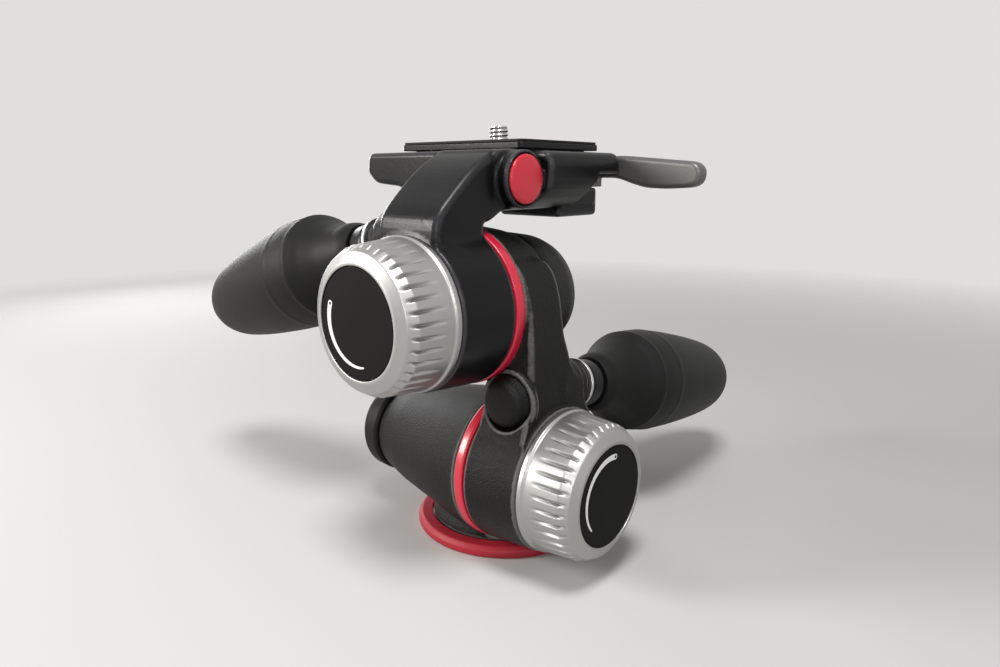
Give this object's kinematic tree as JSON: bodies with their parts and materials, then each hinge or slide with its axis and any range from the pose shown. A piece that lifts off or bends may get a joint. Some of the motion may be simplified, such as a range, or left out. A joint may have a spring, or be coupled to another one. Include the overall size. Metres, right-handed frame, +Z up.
{
  "type": "three way pan tilt head",
  "caption": "Three way camera head for a photo tripod: a panning base, two tilt joints with friction knobs, two retractable handles and a quick release platform",
  "frame": {"origin": "middle of the base's underside, where the tripod screw enters", "axes": "+Z up along the pan axis, +X along the lower tilt axis towards its friction knob, -Y along the upper tilt axis towards its friction knob"},
  "size_m": [0.1694, 0.1743, 0.1323],
  "materials": {
    "black_casting": "die-cast alloy with a fine textured black coating",
    "satin_black_casting": "die-cast alloy with a satin black coating",
    "base_steel": "turned steel",
    "base_ring": "matt red rubbery ring",
    "seam_ring": "red plastic ring",
    "knob_silver": "satin turned aluminium",
    "knob_black": "black moulded plastic",
    "badge_red": "glossy red disc",
    "lever_grey": "grey painted alloy",
    "grip_black": "matt moulded rubber",
    "pad_black": "thin rubber sheet",
    "lock_knob": "black rubberised knob",
    "inner_steel": "machined steel",
    "inner_brass": "machined brass",
    "level_fluid": "clear vial with tinted fluid",
    "camera_plate": "black anodised alloy plate"
  },
  "bodies": {
    "base": {"base_plate": "base_steel", "base_ring": "base_ring", "tripod_thread_insert": "base_steel", "pan_spindle": "inner_steel"},
    "pan": {"pan_housing": "satin_black_casting", "pan_level_vial": "level_fluid", "pan_brake_shoe": "inner_brass", "pan_lock_bush": "inner_brass", "front_seam_ring": "seam_ring", "front_tilt_shaft": "inner_steel", "front_brake_drum": "inner_steel"},
    "pan_lock": {"pan_lock_knob": "lock_knob", "pan_lock_screw": "inner_steel"},
    "arm": {"tilt_arm": "black_casting", "front_clamp_plunger": "inner_brass", "arm_plug": "knob_black", "side_housing_cap": "knob_black", "front_friction_washer_1": "inner_steel", "front_friction_washer_2": "inner_steel", "side_seam_ring": "seam_ring", "side_tilt_shaft": "inner_steel", "side_brake_drum": "inner_steel"},
    "front_knob": {"front_friction_knob": "knob_silver", "front_knob_core": "knob_black", "front_knob_disc": "knob_black", "front_friction_nut": "inner_brass"},
    "front_handle": {"front_handle_rod": "inner_steel", "front_handle_ferrule": "satin_black_casting", "front_handle_ring": "inner_steel"},
    "front_grip": {"front_handle_grip": "grip_black"},
    "platform": {"platform_bracket": "satin_black_casting", "side_clamp_plunger": "inner_brass", "side_friction_washer_1": "inner_steel", "side_friction_washer_2": "inner_steel", "badge_disc": "badge_red", "lever_pivot_pin": "inner_steel", "platform_level_vial": "level_fluid", "platform_cross_level_vial": "level_fluid"},
    "side_knob": {"side_friction_knob": "knob_silver", "side_knob_core": "knob_black", "side_knob_disc": "knob_black", "side_friction_nut": "inner_brass"},
    "side_handle": {"side_handle_rod": "inner_steel", "side_handle_ferrule": "satin_black_casting", "side_handle_ring": "inner_steel"},
    "side_grip": {"side_handle_grip": "grip_black"},
    "lever": {"quick_release_lever": "lever_grey"},
    "catch": {"safety_catch": "inner_brass"},
    "plate": {"camera_plate": "camera_plate", "plate_pad": "pad_black"},
    "plate_screw": {"camera_screw": "inner_steel"}
  },
  "joints": [
    {"name": "pan_turn", "type": "hinge", "parent": "base", "child": "pan", "pos_m": [0, 0, 0.003], "axis": [0, 0, 1], "continuous": true},
    {"name": "pan_lock_turn", "type": "hinge", "parent": "pan", "child": "pan_lock", "pos_m": [-0.0343, -0.013, 0.0281], "axis": [-1, 0, 0], "range_deg": [-180, 180]},
    {"name": "front_tilt", "type": "hinge", "parent": "pan", "child": "arm", "pos_m": [0.0116, -0.013, 0.0281], "axis": [1, 0, 0], "range_deg": [-30, 90]},
    {"name": "front_knob_turn", "type": "hinge", "parent": "arm", "child": "front_knob", "pos_m": [0.034, -0.013, 0.0281], "axis": [1, 0, 0], "range_deg": [-135, 135]},
    {"name": "front_handle_turn", "type": "hinge", "parent": "arm", "child": "front_handle", "pos_m": [0.024, 0.0046, 0.0521], "axis": [0, 0.9826, -0.1857], "range_deg": [-180, 180]},
    {"name": "front_grip_slide", "type": "slide", "parent": "front_handle", "child": "front_grip", "axis": [0, 0.9826, -0.1857], "range_m": [0, 0.05]},
    {"name": "side_tilt", "type": "hinge", "parent": "arm", "child": "platform", "pos_m": [0.0062, -0.0255, 0.0798], "axis": [0, 1, 0], "range_deg": [-30, 82]},
    {"name": "side_knob_turn", "type": "hinge", "parent": "platform", "child": "side_knob", "pos_m": [0.0062, -0.0482, 0.0798], "axis": [0, -1, 0], "range_deg": [-135, 135]},
    {"name": "side_handle_turn", "type": "hinge", "parent": "platform", "child": "side_handle", "pos_m": [-0.0156, -0.0368, 0.0968], "axis": [-0.9529, 0, -0.3032], "range_deg": [-180, 180]},
    {"name": "side_grip_slide", "type": "slide", "parent": "side_handle", "child": "side_grip", "axis": [-0.9529, 0, -0.3032], "range_m": [0, 0.05]},
    {"name": "lever_swing", "type": "hinge", "parent": "platform", "child": "lever", "pos_m": [0.008, 0.0225, 0.115], "axis": [0, 0, 1], "range_deg": [0, 30]},
    {"name": "catch_press", "type": "slide", "parent": "platform", "child": "catch", "axis": [0, -1, 0], "range_m": [0, 0.002]},
    {"name": "plate_lift", "type": "slide", "parent": "platform", "child": "plate", "axis": [0, 0, 1], "range_m": [0, 0.02]},
    {"name": "camera_screw_turn", "type": "hinge", "parent": "plate", "child": "plate_screw", "pos_m": [-0.00875, 0.0065, 0.12], "axis": [0, 0, 1], "continuous": true}
  ]
}
